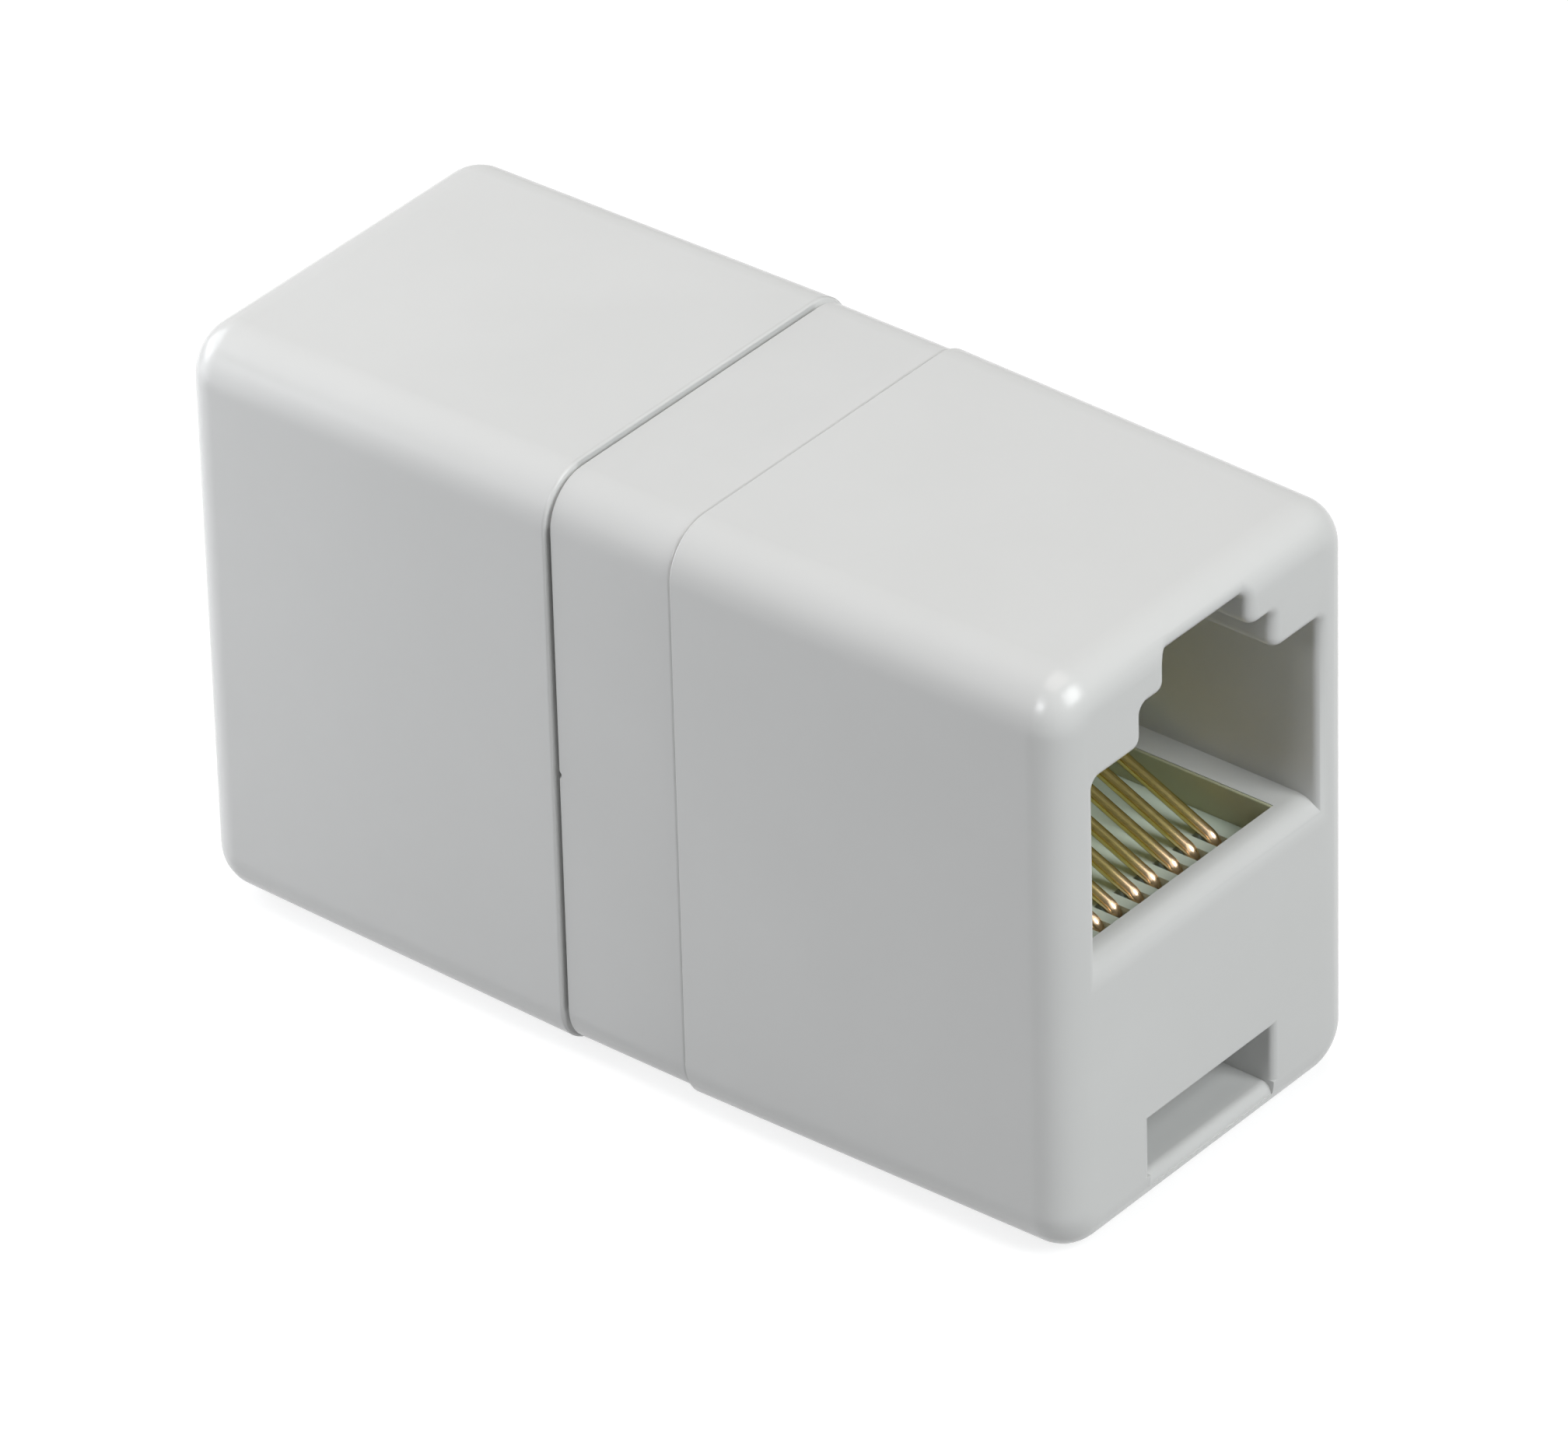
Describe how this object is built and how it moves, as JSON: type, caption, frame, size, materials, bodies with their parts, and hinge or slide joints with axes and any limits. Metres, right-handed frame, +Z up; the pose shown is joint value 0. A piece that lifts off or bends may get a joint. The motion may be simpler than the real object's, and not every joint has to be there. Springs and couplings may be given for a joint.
{
  "type": "rj45 inline coupler",
  "caption": "Inline coupler for modular network plugs: a rounded block with a plug socket in each end, joined through by sprung gold contact wires.",
  "frame": {"origin": "centre of the footprint, on the surface that the coupler rests on", "axes": "+X along the coupler and out of the front socket, whose latch is up; +Y across it; +Z up"},
  "size_m": [0.0364, 0.0156, 0.0222],
  "materials": {
    "shell_plastic": "fine satin moulding, off-white",
    "centre_plastic": "fine satin moulding, off-white",
    "carrier_plastic": "natural translucent moulding, pale blue-green",
    "contact_gold": "gold-plated spring wire"
  },
  "bodies": {
    "root": {"front_shell": "shell_plastic", "rear_shell": "shell_plastic", "centre_body": "centre_plastic", "front_contact_carrier": "carrier_plastic", "rear_contact_carrier": "carrier_plastic", "contact_wire_1": "contact_gold", "contact_wire_2": "contact_gold", "contact_wire_3": "contact_gold", "contact_wire_4": "contact_gold", "contact_wire_5": "contact_gold", "contact_wire_6": "contact_gold", "contact_wire_7": "contact_gold", "contact_wire_8": "contact_gold"}
  },
  "joints": []
}
